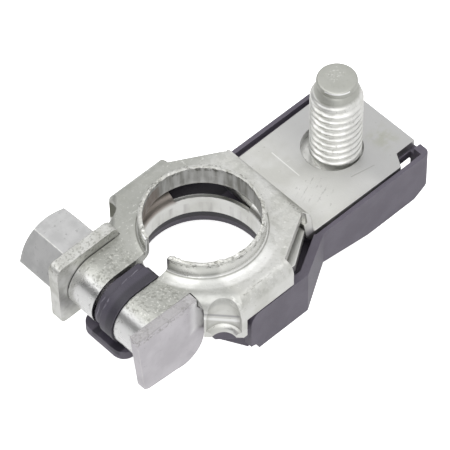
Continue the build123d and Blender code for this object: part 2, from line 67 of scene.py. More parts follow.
# %% Shader helpers
def linear(hex_value):
    """An sRGB hex colour as linear RGBA."""
    channels = [int(hex_value[i:i + 2], 16) / 255 for i in (0, 2, 4)]
    return tuple(c / 12.92 if c <= 0.04045 else ((c + 0.055) / 1.055) ** 2.4 for c in channels) + (1.0,)


def add_node(tree, kind, inputs=None, output=0, **settings):
    """Adds a shader node; inputs are values or other nodes' outputs. Returns one of its outputs."""
    node = tree.nodes.new("ShaderNode" + kind)
    for name, value in settings.items():
        setattr(node, name, value)
    for name, value in (inputs or {}).items():
        if isinstance(value, bpy.types.NodeSocket):
            tree.links.new(value, node.inputs[name])
        else:
            node.inputs[name].default_value = value
    return node.outputs[output] if len(node.outputs) else node


def new_tree(name):
    """An empty node material and its tree."""
    material = bpy.data.materials.new(name)
    material.use_nodes = True
    material.node_tree.nodes.clear()
    return material, material.node_tree


def place_mm(tree):
    """The surface point in the CAD's frame, in millimetres, so that a pattern keeps its real size."""
    coords = add_node(tree, "TexCoord", output="Object")
    return add_node(tree, "VectorMath", {0: coords, "Scale": 1 / MM}, operation="SCALE")


# %% [markdown]
# ## Patterns
# Worn plating is described by masks from 0 to 1: a zone says where, and specks, streaks or shear marks say what.
# Masks are multiplied with each other, and a list of marks is laid over the plain plating in a later step.

# %% Zones
def zone(tree, place, centre, half, soft, turn=(0, 0, 0)):
    """1 inside a turned box round centre, fading to 0 over soft millimetres outside it."""
    local = add_node(tree, "Mapping", {
        "Vector": place, "Location": centre, "Rotation": [math.radians(a) for a in turn]}, vector_type="TEXTURE")
    depth = add_node(tree, "VectorMath", {0: local}, operation="ABSOLUTE")
    depth = add_node(tree, "VectorMath", {0: depth, 1: half}, operation="SUBTRACT")
    split = add_node(tree, "SeparateXYZ", {0: depth}).node
    widest = add_node(tree, "Math", {0: split.outputs[0], 1: split.outputs[1]}, operation="MAXIMUM")
    widest = add_node(tree, "Math", {0: widest, 1: split.outputs[2]}, operation="MAXIMUM")
    return add_node(tree, "MapRange", {
        "Value": widest, "From Min": 0.0, "From Max": soft, "To Min": 1.0, "To Max": 0.0},
        interpolation_type="SMOOTHSTEP")


def ring(tree, place, low_r, high_r, low_z, high_z, soft):
    """1 between two radii and two heights round the bore's axis."""
    flat = add_node(tree, "VectorMath", {0: place, 1: (1, 1, 0)}, operation="MULTIPLY")
    radius = add_node(tree, "VectorMath", {0: flat}, output="Value", operation="LENGTH")
    height = add_node(tree, "SeparateXYZ", {0: place}, output="Z")
    spot = add_node(tree, "CombineXYZ", {0: radius, 2: height})
    middle = ((low_r + high_r) / 2, 0, (low_z + high_z) / 2)
    return zone(tree, spot, middle, ((high_r - low_r) / 2, 1, (high_z - low_z) / 2), soft)


# %% Grain
def specks(tree, place, size, low, high, shift=0.0, stretch=(1, 1, 1), turn=(0, 0, 0)):
    """Blotches of about size millimetres where a noise passes low, full at high; stretched, they are streaks."""
    local = add_node(tree, "Mapping", {
        "Vector": place, "Location": (shift, shift, shift), "Scale": stretch,
        "Rotation": [math.radians(a) for a in turn]}, vector_type="TEXTURE")
    grain = add_node(tree, "TexNoise", {"Vector": local, "Scale": 1 / size, "Detail": 3.0, "Roughness": 0.6})
    return add_node(tree, "MapRange", {"Value": grain, "From Min": low, "From Max": high},
                    interpolation_type="SMOOTHSTEP")


def shear_marks(tree, place, pitch, low, high):
    """Upright marks that the punch leaves round the bore's wall, pitch millimetres apart on average."""
    wall_r, squeeze = 8.6, 0.12  # squeezing the height draws the noise out into upright lines
    split = add_node(tree, "SeparateXYZ", {0: place}).node
    turn = add_node(tree, "Math", {0: split.outputs["Y"], 1: split.outputs["X"]}, operation="ARCTAN2")
    along = add_node(tree, "Math", {0: turn, 1: wall_r}, operation="MULTIPLY")
    down = add_node(tree, "Math", {0: split.outputs["Z"], 1: squeeze}, operation="MULTIPLY")
    spot = add_node(tree, "CombineXYZ", {0: along, 1: down})
    grain = add_node(tree, "TexNoise", {"Vector": spot, "Scale": 1 / pitch, "Detail": 2.0})
    return add_node(tree, "MapRange", {"Value": grain, "From Min": low, "From Max": high})


# %% [markdown]
# ## Marks
# A mark is one thing to see on a surface: where it is, its colour and strength, how much rougher it is than the
# plain coat, and how high it stands in millimetres. The mask is kept as a function, because it can only be built
# once there is a material to build it in.

# %% Marks as data
def in_box(*shape):
    """The mask of a zone, to be built later."""
    return lambda tree, place: zone(tree, place, *shape)


def in_ring(*shape):
    """The mask of a ring round the bore, to be built later."""
    return lambda tree, place: ring(tree, place, *shape)


def flecks(*grain, **settings):
    """The mask of specks or streaks, to be built later."""
    return lambda tree, place: specks(tree, place, *grain, **settings)


def shears(*grain):
    """The mask of upright shear marks, to be built later."""
    return lambda tree, place: shear_marks(tree, place, *grain)


def overlap(*masks):
    """The product of masks, so only where all of them are."""
    def product(tree, place):
        built = [mask(tree, place) for mask in masks]
        result = built[0]
        for mask in built[1:]:
            result = add_node(tree, "Math", {0: result, 1: mask}, operation="MULTIPLY")
        return result
    return product


def scratch(start, end, width):
    """The mask of a straight scratch between two points on a level face."""
    reach_z = 0.3
    length = math.dist(start, end)
    middle = [(a + b) / 2 for a, b in zip(start, end)]
    heading = math.degrees(math.atan2(end[1] - start[1], end[0] - start[0]))
    return in_box(middle, (length / 2, width / 2, reach_z), width / 2, (0, 0, heading))


def mark(mask, colour, strength, rougher=0.0, height=0.0):
    """One mark of a list."""
    return mask, colour, strength, rougher, height


# %% [markdown]
# ## Zinc plating
# The sheet, bolt, washer, nut and stud are steel with a thin coat of electroplated zinc. New, it is a silvery grey
# that reflects softly; handling dulls it in clouds, dents it with tiny pits, and rubs it bright along its edges.
# One function makes that coat, because all the metal has it, and each piece adds its own marks.

# %% Rubbed edges
EDGE_R = 0.16 * MM
NUT_EDGE_R = 0.3 * MM
RUB_STARTS, RUB_FULL = 0.985, 0.9  # cosine between the face and the rounded edge


def rubbed_edges(tree, radius, most):
    """A normal rounded over the edges, and a mask of the edges themselves."""
    rounded = add_node(tree, "Bevel", {"Radius": radius}, samples=6)
    flat = add_node(tree, "NewGeometry", output="Normal")
    turned = add_node(tree, "VectorMath", {0: rounded, 1: flat}, output="Value", operation="DOT_PRODUCT")
    rubbed = add_node(tree, "MapRange", {
        "Value": turned, "From Min": RUB_STARTS, "From Max": RUB_FULL, "To Min": 0.0, "To Max": most})
    return rounded, rubbed


# %% Laying marks over a coat
def lay_marks(tree, place, marks, colour, roughness, height):
    """Adds each mark in turn to the colour, roughness and height of a coat."""
    for mask_of, paint, strength, rougher, mark_height in marks:
        mask = mask_of(tree, place)
        share = add_node(tree, "Math", {0: mask, 1: strength}, operation="MULTIPLY")
        colour = add_node(tree, "Mix", {"Factor": share, "A": colour, "B": linear(paint)},
                          output="Result", data_type="RGBA")
        if rougher:
            roughness = add_node(tree, "Math", {0: mask, 1: rougher, 2: roughness}, operation="MULTIPLY_ADD")
        if mark_height:
            height = add_node(tree, "Math", {0: mask, 1: mark_height, 2: height}, operation="MULTIPLY_ADD")
    return colour, roughness, height


# %% Plating
CLOUD_ROUGHER = 0.07
BARE_EDGE = "f0f0ec"


def zinc_plating(name, clean, dull, rough, cloud_mm, pit_mm, pit_depth, edge, marks=(), edge_r=EDGE_R):
    """Zinc on steel: clean and dull are the coat's two tones, edge is how bright its edges are rubbed."""
    material, tree = new_tree(name)
    place = place_mm(tree)
    clouds = specks(tree, place, cloud_mm, 0.36, 0.66)
    colour = add_node(tree, "Mix", {"Factor": clouds, "A": linear(clean), "B": linear(dull)},
                      output="Result", data_type="RGBA")
    roughness = add_node(tree, "MapRange", {
        "Value": clouds, "From Min": 0.0, "From Max": 1.0, "To Min": rough, "To Max": rough + CLOUD_ROUGHER})
    pits = add_node(tree, "TexNoise", {"Vector": place, "Scale": 1 / pit_mm, "Detail": 2.0})
    height = add_node(tree, "Math", {0: pits, 1: pit_depth}, operation="MULTIPLY")

    rounded, rubbed = rubbed_edges(tree, edge_r, edge)
    patches = specks(tree, place, 0.9, 0.34, 0.52, shift=7.0)
    broken = add_node(tree, "Math", {0: rubbed, 1: patches}, operation="MULTIPLY")
    colour = add_node(tree, "Mix", {"Factor": broken, "A": colour, "B": linear(BARE_EDGE)},
                      output="Result", data_type="RGBA")
    colour, roughness, height = lay_marks(tree, place, marks, colour, roughness, height)

    normal = add_node(tree, "Bump", {"Height": height, "Strength": 1.0, "Distance": MM, "Normal": rounded})
    shader = add_node(tree, "BsdfPrincipled", {
        "Base Color": colour, "Metallic": 1.0, "Roughness": roughness, "Normal": normal})
    add_node(tree, "OutputMaterial", {"Surface": shader})
    print("material:", name, "with", len(marks), "marks")
    return material


# %% [markdown]
# ## The sheet's broad tones
# Handling and the plating bath leave the sheet unevenly bright; painted shade and painted highlights are laid over
# it in the same wide, soft way. These marks come first and the small ones go on top of them. Some pale and dark
# ones, here and below, stand for light and shade that the even light of this scene doesn't draw, rather than for
# dirt. They stay put when the light changes, and are less true then.

# %% Broad tones
PLATE_TOP = in_box((0, 0, -3.0), (14, 15, 1.0), 1.0)
COLLAR_WALL = in_ring(7.5, 8.95, -4.6, -0.1, 0.2)

sheet_marks = [
    # painted shade: the plate's left part and its far edge are painted darker
    mark(in_box((-12, 4, -3.5), (8, 10.5, 1.2), 4.0), "abaca6", 0.8, rougher=0.02),
    mark(in_box((3, 12, -3.0), (10, 1.5, 1.2), 4.0), "acada8", 0.8, rougher=0.02),
    mark(overlap(PLATE_TOP, flecks(1.1, 0.44, 0.62, shift=13.0)), "a3a49d", 0.3, rougher=0.06, height=-0.012),
    mark(overlap(PLATE_TOP, flecks(0.5, 0.6, 0.7, shift=15.0)), "f4f4f0", 0.4, height=0.01),
    # painted shade: the tab is painted darker towards its outer end
    mark(in_box((34, 4, -7.5), (8, 14, 1.2), 9.0), "bababa", 0.8, rougher=0.02),
    # painted highlight on the tab's near side, on a slightly rougher patch
    mark(in_box((21.5, -5, -7.5), (3.5, 2.5, 0.4), 3.5), "f4f4f2", 0.4, rougher=0.12),
    # partly a painted highlight: the loops' fronts are painted a little lighter; partly a smoother finish on the
    # bends
    mark(in_box((-18, 0, -8.5), (4, 9, 4.5), 0.8), "dedede", 0.9, rougher=-0.11),
    # the collar's inner wall is darker and rougher: partly sheared metal, partly painted shade in the bore
    mark(COLLAR_WALL, "a9a9a7", 0.8, rougher=0.08),
]
print("broad tones:", len(sheet_marks))

# %% [markdown]
# ## The loops
# The two loops were bent over a mandrel, which crazes the outside of the bend like orange peel. That is dark
# blotches pressed into the coat, with bright grains between them, and a few specks down the loops' fronts.

# %% Loops
LOOP_TOPS = in_box((-14.0, 0, -3.6), (3.0, 7.6, 1.0), 1.1)

sheet_marks += [
    mark(overlap(LOOP_TOPS, flecks(0.5, 0.44, 0.66), flecks(2.2, 0.36, 0.56)),
         "84847d", 0.5, rougher=0.1, height=-0.03),
    mark(overlap(LOOP_TOPS, flecks(0.4, 0.57, 0.7, shift=5.0)), "f6f6f0", 0.5, height=0.015),
    mark(overlap(in_box((-17.5, 0, -7), (3, 8, 3.5), 0.6), flecks(0.6, 0.6, 0.68, shift=3.0)),
         "77756f", 0.45, rougher=0.1, height=-0.01),
]

# %% [markdown]
# ## The collars
# Each collar was punched and then drawn out of the sheet. The punch leaves upright shear marks on the wall, there
# is a brown stain on one side, and the bend at the collar's root has a painted highlight beside a seam of painted
# shade. The collar's outer wall has a painted highlight too, and the pocket's shoulder painted shade.

# %% Collars
sheet_marks += [
    mark(overlap(COLLAR_WALL, shears(0.9, 0.42, 0.66)), "86857f", 0.75, rougher=0.1, height=-0.02),
    mark(overlap(in_ring(7.5, 9.5, -12.4, -8.6, 0.2), shears(1.1, 0.5, 0.7)),
         "aaa6a6", 0.4, rougher=0.1, height=-0.01),
    mark(overlap(in_ring(7.5, 9.0, -4.6, -0.8, 0.2), in_box((-3.6, 8, -3), (2.2, 1.6, 2), 1.5)),
         "7f7066", 0.7, rougher=0.05),
    mark(in_box((-0.6, 9.6, -6.3), (2.8, 0.8, 0.8), 1.0), "7f7066", 0.7, rougher=0.05),
    # painted highlight on the collar's outer wall
    mark(in_ring(9.1, 9.4, -2.5, -0.3, 0.1), "ececea", 0.7, rougher=-0.1),
    # painted shade in the crease at the collar's root
    mark(in_ring(9.5, 9.6, -3.2, -2.3, 0.1), "77776f", 0.6, rougher=0.1),
    # painted highlight on the bend at the collar's root, on the near side
    mark(overlap(in_ring(10.0, 10.9, -3.2, -2.3, 0.6), in_box((-4, -9, -3), (7, 4, 1), 3.0)),
         "f8f8f6", 0.7, rougher=-0.05),
    # painted shade on the pocket's shoulder, which tones its highlight down
    mark(in_box((-7.9, -10.2, -3.4), (2.6, 2.6, 0.9), 1.2), "b4b5b2", 0.6, rougher=0.08),
]

# %% [markdown]
# ## Small marks
# Tools nick the sheet where it is gripped and bent: along the flange's bend, along the step, beside the pocket and
# on the tab. The step's bend also gets painted shade, the far claw a dark oval patch, and the pocket's turned-out
# lip a crease of painted shade and a painted highlight.

# %% Nicks and lips
LIP_TURN = (0, 53, 41.5)

sheet_marks += [
    mark(overlap(
        in_box((-1.2, -12.75, -3.1), (2.8, 0.02, 0.5), 0.22, (0, 0, 2)),
        flecks(0.22, 0.44, 0.6, shift=8.0, stretch=(4, 1, 1))),
        "77766f", 0.5, rougher=0.1, height=-0.02),
    # a dark oval patch on the far claw
    mark(in_box((-5.5, 13.3, -6.4), (0.7, 0.9, 1.7), 0.5), "5f6052", 0.85, rougher=0.2),
    mark(overlap(
        in_box((18.6, -3.4, -7.4), (1.6, 1.6, 0.4), 1.2),
        flecks(0.4, 0.57, 0.66, shift=9.0, stretch=(4, 1, 1), turn=(0, 0, 20))),
        "9a9a95", 0.35, rougher=0.1, height=-0.01),
    mark(overlap(in_box((33.0, -3.6, -7.4), (0.6, 0.8, 0.4), 2.0), flecks(1.5, 0.36, 0.6, shift=6.0)),
         "adae9e", 0.5, rougher=0.05),
    mark(overlap(in_box((-5.6, -12.8, -3.7), (0.15, 0.9, 1.0), 0.2), flecks(0.5, 0.4, 0.55, shift=3.0)),
         "e6e6e2", 0.6, height=0.02),
    # dark flecks along the step's bend: nicks, and painted shade in the bend
    mark(overlap(
        in_box((12.1, -6.6, -3.0), (0.12, 1.6, 0.6), 0.25, (0, 0, -4)),
        flecks(0.3, 0.46, 0.6, shift=6.0)),
        "807f78", 0.6, rougher=0.1, height=-0.02),
    # painted shade in the crease above the pocket's lip
    mark(in_box((-6.8, -10.9, -7.2), (2.7, 2.7, 0.03), 0.2, LIP_TURN), "8d8b92", 0.6, rougher=0.05),
    # painted highlight on the pocket's turned-out lip
    mark(in_box((-7.1, -11.2, -7.6), (2.7, 2.7, 0.08), 0.2, LIP_TURN), "ffffff", 0.7),
]

# %% [markdown]
# ## Scratches, rim and slot
# Cable lugs have drawn thin scratches across the tab. The collar's rim has dark flakes, the gap beside the far
# loop has a painted shadow, and the rim near the slot a painted highlight. Last comes what is everywhere: a few
# dull specks, and short streaks from the rolling mill.

# %% Scratches and rim
sheet_marks += [
    mark(scratch((19.3, 5.7, -7.4), (19.2, -0.2, -7.4), 0.12), "f4f4f2", 0.7, height=0.01),
    mark(scratch((14.9, 8.0, -7.4), (15.0, 1.0, -7.4), 0.18), "8f8f8a", 0.5, rougher=0.05, height=-0.01),
    mark(scratch((24.5, -5.6, -7.4), (28.5, -6.4, -7.4), 0.1), "9a9a96", 0.5, height=-0.01),
    mark(scratch((31.0, 4.5, -7.4), (33.5, 1.0, -7.4), 0.1), "a2a29e", 0.5, height=-0.01),
    mark(overlap(in_ring(8.4, 9.5, -0.5, 0.2, 0.15), flecks(0.6, 0.5, 0.62, shift=2.0)),
         "70706a", 0.6, rougher=0.15, height=-0.04),
    # painted shadow in the joint between the far loop and the washer
    mark(in_box((-15, 7.33, -8), (4.6, 0.05, 5.2), 0.16), "2c2c28", 0.85, rougher=0.3),
    # painted highlight on the rim near the slot
    mark(in_box((-9.0, 2.9, -0.3), (0.5, 0.45, 0.7), 0.3), "ffffff", 0.9, rougher=-0.1),
    mark(flecks(0.5, 0.67, 0.74, shift=11.0), "8f8e88", 0.4, rougher=0.1, height=-0.01),
    mark(flecks(0.5, 0.7, 0.76, shift=4.0, stretch=(7, 1, 1), turn=(0, 0, -12)), "f2f2ee", 0.4, height=0.004),
]
zinc_sheet = zinc_plating("zinc_plated_sheet", "d9d9d6", "cdcdc8", 0.34, 5.0, 0.3, 0.012, 0.6, sheet_marks)

# %% [markdown]
# ## The other zinc-plated pieces
# The bolt's head was struck flat, which leaves a crazed top edge and a smooth, duller face. The nut's edges are
# softer than the rest. The washer was pressed and is speckled on top. The stud's plain tip is duller than its
# rolled thread.

# %% Bolt
HEAD_CREST = (-15, -8.2, -3.2)

head_marks = [
    mark(overlap(
        in_box(HEAD_CREST, (7, 1.0, 0.5), 0.6),
        flecks(0.35, 0.44, 0.6),
        flecks(1.8, 0.38, 0.56)),
        "8b8984", 0.6, rougher=0.1, height=-0.02),
    mark(overlap(in_box(HEAD_CREST, (7, 1.0, 0.7), 0.6), flecks(0.4, 0.58, 0.68, shift=6.0)),
         "f4f4f0", 0.5, height=0.015),
    mark(flecks(0.6, 0.66, 0.74, shift=1.0), "9a989c", 0.4, rougher=0.05),
    mark(in_box((-15, -8.2, -2.2), (7, 1.2, 0.7), 0.3), "b2b0b0", 0.6, rougher=0.04),
    # painted highlight: the head's end beside the claw is painted lighter, against its reflected shade
    mark(in_box((-8.9, -8.5, -6.5), (0.9, 0.8, 2.6), 1.4), "ffffff", 0.7, rougher=0.15),
]
zinc_bolt = zinc_plating("zinc_plated_bolt", "cbc8cc", "c4c1c5", 0.5, 4.0, 0.3, 0.008, 0.5, head_marks)

# %% Nut and washer
nut_marks = [
    mark(flecks(0.6, 0.62, 0.72), "9c9c9c", 0.5, rougher=0.1, height=-0.01),
]
zinc_nut = zinc_plating(
    "zinc_plated_nut", "cacaca", "bfbfbf", 0.5, 2.5, 0.3, 0.01, 1.0, nut_marks, NUT_EDGE_R)

washer_marks = [
    mark(overlap(in_box((-15, 8.3, -1.6), (7, 1.2, 0.6), 0.5), flecks(0.4, 0.5, 0.62)),
         "85857e", 0.45, rougher=0.1, height=-0.02),
]
zinc_washer = zinc_plating("zinc_plated_washer", "d6d6d3", "c2c2bd", 0.42, 2.0, 0.3, 0.012, 0.6, washer_marks)

# %% Stud's finish
stud_marks = [
    mark(flecks(0.5, 0.6, 0.7), "a5a5a0", 0.45, rougher=0.1, height=-0.01),
    mark(in_box((26.8, 0, 7.6), (4, 4, 1.6), 0.8), "abaca5", 0.8, rougher=0.1),
    # painted highlight along the front of the tip's rounded edge
    mark(in_box((24.75, -2.2, 7.99), (1.7, 1.7, 0.05), 0.08), "ffffff", 0.9, rougher=-0.1),
    mark(overlap(in_box((27.2, 0.8, 8.2), (0.9, 0.6, 0.2), 0.7), flecks(0.3, 0.5, 0.68, shift=3.0)),
         "f0f0ee", 0.5, height=0.01),
]
zinc_stud = zinc_plating("zinc_plated_stud", "e6e6e3", "dadad6", 0.34, 1.6, 0.25, 0.01, 0.3, stud_marks)

# %% [markdown]
# ## Moulded polyamide
# The carrier is injection-moulded polyamide, a tough black plastic. Moulding against a spark-eroded steel tool
# leaves a fine matte texture, and use leaves dust, rubbed corners and pale scratches where metal slid over it.

# %% Plastic's tones and scratches
POLYAMIDE_IOR, POLYAMIDE_ROUGH = 1.53, 0.5
TEXTURE_MM, TEXTURE_DEPTH = 0.2, 0.03
CORNER_RUB, WEAR = 0.6, 0.55


def carrier_tones(tree, place):
    """Dusty grey in clouds, with painted shade on the tongue between the loops, less on its crown, and painted
    shade on the base round the bore and at its far side.
    """
    clouds = specks(tree, place, 5.0, 0.35, 0.65)
    colour = add_node(tree, "Mix", {"Factor": clouds, "A": linear("534e5a"), "B": linear("5c5763")},
                      output="Result", data_type="RGBA")
    # painted shade on the tongue between the loops; its crown gets less of it
    tongue = zone(tree, place, (-15, 0, -7), (6.5, 2.6, 6), 0.4)
    colour = add_node(tree, "Mix", {"Factor": tongue, "A": colour, "B": linear("2f2c36")},
                      output="Result", data_type="RGBA")
    crown = zone(tree, place, (-15, 0.45, -7), (8, 1.0, 7), 0.6)
    crown = add_node(tree, "Math", {0: tongue, 1: crown}, operation="MULTIPLY")
    colour = add_node(tree, "Mix", {"Factor": crown, "A": colour, "B": linear("423e4a")},
                      output="Result", data_type="RGBA")
    # painted shade on the base's ring in the bore and on the base at the far side
    painted_shade = add_node(tree, "Math", {
        0: ring(tree, place, 9.0, 9.6, -12.0, -11.0, 0.2),
        1: zone(tree, place, (7.5, 10.5, -11), (5.5, 3.2, 0.6), 0.5)}, operation="MAXIMUM")
    return add_node(tree, "Mix", {"Factor": painted_shade, "A": colour, "B": linear("2b2830")},
                    output="Result", data_type="RGBA")


def tongue_scratches(tree, place):
    """Two wandering lines along the tongue, broken by specks."""
    wander_mm, wander_by = 5.0, (0, 2.6, 0)
    wander = add_node(tree, "TexNoise", {"Vector": place, "Scale": 1 / wander_mm, "Detail": 2.0}, output="Color")
    spot = add_node(tree, "VectorMath", {0: wander, 1: wander_by, 2: place}, operation="MULTIPLY_ADD")
    lines = add_node(tree, "Math", {
        0: zone(tree, spot, (-15, 1.95, -6), (8, 0.02, 6), 0.12),
        1: zone(tree, spot, (-18, 2.7, -8), (6, 0.01, 4), 0.12)}, operation="MAXIMUM")
    breaks = specks(tree, place, 1.4, 0.34, 0.6, shift=2.0)
    return add_node(tree, "Math", {0: lines, 1: breaks}, operation="MULTIPLY")


# %% Plastic
def moulded_polyamide():
    """Black polyamide, dusty grey, with rubbed corners and pale scratches."""
    material, tree = new_tree("moulded_polyamide")
    place = place_mm(tree)
    colour = carrier_tones(tree, place)
    rounded, rubbed = rubbed_edges(tree, EDGE_R, CORNER_RUB)
    patches = specks(tree, place, 1.2, 0.36, 0.6, shift=3.0)
    rubbed = add_node(tree, "Math", {0: rubbed, 1: patches}, operation="MULTIPLY")
    worn = add_node(tree, "Math", {0: rubbed, 1: tongue_scratches(tree, place)}, operation="MAXIMUM")
    worn = add_node(tree, "Math", {0: worn, 1: WEAR}, operation="MULTIPLY")
    colour = add_node(tree, "Mix", {"Factor": worn, "A": colour, "B": linear("8f8b97")},
                      output="Result", data_type="RGBA")
    # the real texture is about 0.1 mm wide; it is drawn twice as coarse, so that it shows
    grain = add_node(tree, "TexNoise", {"Vector": place, "Scale": 1 / TEXTURE_MM, "Detail": 2.0})
    height = add_node(tree, "Math", {0: grain, 1: TEXTURE_DEPTH}, operation="MULTIPLY")
    normal = add_node(tree, "Bump", {"Height": height, "Strength": 1.0, "Distance": MM, "Normal": rounded})
    shader = add_node(tree, "BsdfPrincipled", {
        "Base Color": colour, "Roughness": POLYAMIDE_ROUGH, "IOR": POLYAMIDE_IOR, "Normal": normal})
    add_node(tree, "OutputMaterial", {"Surface": shader})
    print("material: moulded_polyamide")
    return material


polyamide = moulded_polyamide()

# %% [markdown]
# ## Finishes on the CAD nodes
# The CAD's own meshes stay as they are. Each one only gets its finish.

# %% Finishes on the CAD nodes
finish = {
    "clamp_body": zinc_sheet, "clamp_bolt": zinc_bolt, "plate_washer": zinc_washer, "clamp_nut": zinc_nut,
    "stud_bolt": zinc_stud, "insulator_carrier": polyamide,
}
for name, material in finish.items():
    mesh = nodes[name].data
    mesh.materials.clear()
    mesh.materials.append(material)
print("finished nodes:", len(finish))

# %% [markdown]
# ## New pieces
# What scene.py adds is built as points and faces in millimetres. Shading is smooth, except across edges that are
# sharper than a given angle.

# %% Mesh from points
def mesh_piece(name, vertices_mm, faces, material, smooth_angle=35):
    """A mesh object from points in millimetres, smooth except across sharp edges."""
    mesh = bpy.data.meshes.new(name)
    mesh.from_pydata([tuple(c * MM for c in v) for v in vertices_mm], [], faces)
    mesh.validate()
    mesh.materials.append(material)
    mesh.shade_smooth()
    mesh.set_sharp_from_angle(angle=math.radians(smooth_angle))
    piece = bpy.data.objects.new(name, mesh)
    scene.collection.objects.link(piece)
    return piece


# %% [markdown]
# ## The connecting stud
# The stud's thread is rolled, so its crests are round and stand proud of the plain shank. The CAD model has only
# the thread's outer cylinder. Here the whole stud is one lathed grid of points whose radius falls into a helical
# groove, which gives real crests on the outline; a bump map would leave the outline straight.

# %% Stud's sizes, in millimetres
STUD_X, CREST_R, SHANK_R = 26.8, 3.95, 3.6
PITCH, GROOVE_DEPTH, GROOVE_SHARE, GROOVE_ROUND = 1.32, 0.6, 0.7, 0.8
GROOVE_Z, GROOVE_AT = -1.0, math.radians(-133)
HEAD_TOP_Z, HEAD_H, HEAD_FLAT, HEAD_BREAK = -8.93, 4.6, 6.5, 0.5
THREAD_FOOT_Z, LEAD_Z, NECK_Z, TIP_Z = -7.3, 4.3, 6.9, 8.2
TIP_R, NECK_R, TIP_EDGE = 3.05, 2.5, 0.35
FOOT_STEP, FOOT_FADE, RING_GAP = 0.05, 0.3, 0.09
LEAD_END, LEAD_CURVE, LEAD_OVER_NECK, GROOVE_FADE = 0.35, 1.35, 0.1, 1.5
STUD_COLUMNS = 144


# %% Stud's outline
def hexagon_r(angle, flat):
    """Distance from the axis to a hexagon's side; its corners stand at 30 degrees and every 60 more."""
    return flat / math.cos((angle + math.pi / 6) % (math.pi / 3) - math.pi / 6)


def groove(angle, z):
    """Depth of the thread's groove, 0 on the rounded crest and 1 at the root."""
    turns = (z - GROOVE_Z - PITCH * (angle - GROOVE_AT) / (2 * math.pi)) / PITCH
    off = abs((turns + 0.5) % 1 - 0.5) / (GROOVE_SHARE / 2)
    return 0.0 if off >= 1 else (0.5 + 0.5 * math.cos(math.pi * off)) ** GROOVE_ROUND


def head_rings():
    """The hexagonal head and the shank under the thread, as (height, radius function)."""
    low = HEAD_TOP_Z - HEAD_H
    return [(low, lambda a: hexagon_r(a, HEAD_FLAT) - HEAD_BREAK),
            (low + HEAD_BREAK, lambda a: hexagon_r(a, HEAD_FLAT)),
            (HEAD_TOP_Z, lambda a: hexagon_r(a, HEAD_FLAT)),
            (HEAD_TOP_Z, lambda a: SHANK_R), (THREAD_FOOT_Z - FOOT_STEP, lambda a: SHANK_R)]


def thread_rings():
    """The thread, and the lead cone into which its groove fades."""
    rings = []
    length = NECK_Z - LEAD_END - THREAD_FOOT_Z
    steps = int(length / RING_GAP)
    for i in range(steps + 1):
        z = THREAD_FOOT_Z + length * i / steps
        lead = max(0.0, (z - LEAD_Z) / (NECK_Z - LEAD_Z))
        outer = CREST_R - (CREST_R - NECK_R - LEAD_OVER_NECK) * lead ** LEAD_CURVE
        fade = min(1.0, (z - THREAD_FOOT_Z) / FOOT_FADE) * max(0.0, 1 - lead * GROOVE_FADE)
        rings.append((z, lambda a, z=z, o=outer, f=fade: o - GROOVE_DEPTH * f * groove(a, z)))
    return rings


def tip_rings():
    """The neck's small undercut and the plain tip with its rounded edge."""
    rings = [(NECK_Z - 0.1, lambda a: NECK_R), (NECK_Z + 0.02, lambda a: NECK_R + 0.05),
             (NECK_Z + 0.12, lambda a: NECK_R + 0.38), (NECK_Z + TIP_EDGE, lambda a: TIP_R)]
    for share in (0.0, 0.35, 0.7, 1.0):
        turn = math.pi / 2 * share
        rings.append((TIP_Z - TIP_EDGE * (1 - math.sin(turn)),
                      lambda a, t=turn: TIP_R - TIP_EDGE * (1 - math.cos(t))))
    rings.append((TIP_Z - 0.06, lambda a: TIP_R * 0.5))
    return rings


# %% Lathe
def lathe(rings, columns, centre_x):
    """Points and faces of stacked rings, closed with a fan at both ends."""
    points, faces = [], []
    for z, radius in rings:
        for j in range(columns):
            angle = 2 * math.pi * j / columns
            r = radius(angle)
            points.append((centre_x + r * math.cos(angle), r * math.sin(angle), z))
    for i in range(len(rings) - 1):
        for j in range(columns):
            k = (j + 1) % columns
            faces.append((i * columns + j, i * columns + k, (i + 1) * columns + k, (i + 1) * columns + j))
    top = (len(rings) - 1) * columns
    points += [(centre_x, 0, rings[0][0]), (centre_x, 0, rings[-1][0])]
    for j in range(columns):
        k = (j + 1) % columns
        faces.append((k, j, len(points) - 2))
        faces.append((top + j, top + k, len(points) - 1))
    return points, faces


# %% Stud
stud_rings = head_rings() + thread_rings() + tip_rings()
stud_points, stud_faces = lathe(stud_rings, STUD_COLUMNS, STUD_X)
stud = mesh_piece("threaded_stud", stud_points, stud_faces, zinc_stud)
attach(stud, "root")
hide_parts("stud_bolt")
print("threaded_stud:", len(stud_faces), "faces")

# %% [markdown]
# ## The torn rim
# Punching tears the sheet at the collar's rim and leaves a burr, a thin flaky lip that stands up unevenly. It is
# real relief of a few tenths of a millimetre, so it is a strip of mesh on the rim, raised by a noise. The flakes
# are smaller on one side of the rim and larger on the other.

# %% Burr's sizes, in millimetres
RIM_IN, RIM_OUT = 8.58, 9.22
BURR_HALF_ANGLE, BURR_STEPS = 164.5, 660
BURR_WAVES_FAR, BURR_WAVES_NEAR, BURR_LOW_AT = 11.0, 5.5, math.radians(48)
BURR_LEAST, FLAKES_FAR, FLAKES_NEAR_MORE = 0.03, 0.2, 0.3
BURR_LEAN, LEAN_WAVES = 0.08, 11


# %% Burr's shape
def burr_height(angle, side):
    """Height of the burr in millimetres: low almost everywhere, with torn flakes."""
    near = 0.5 - 0.5 * math.cos(angle - BURR_LOW_AT)
    waves = BURR_WAVES_FAR * (1 - near) + BURR_WAVES_NEAR * near
    spot = Vector((math.cos(angle), math.sin(angle), side * 0.3)) * waves
    rough = noise.noise(spot) + 0.6 * noise.noise(spot * 2.7)
    return BURR_LEAST + (FLAKES_FAR + FLAKES_NEAR_MORE * near) * max(0.0, rough) ** 1.1


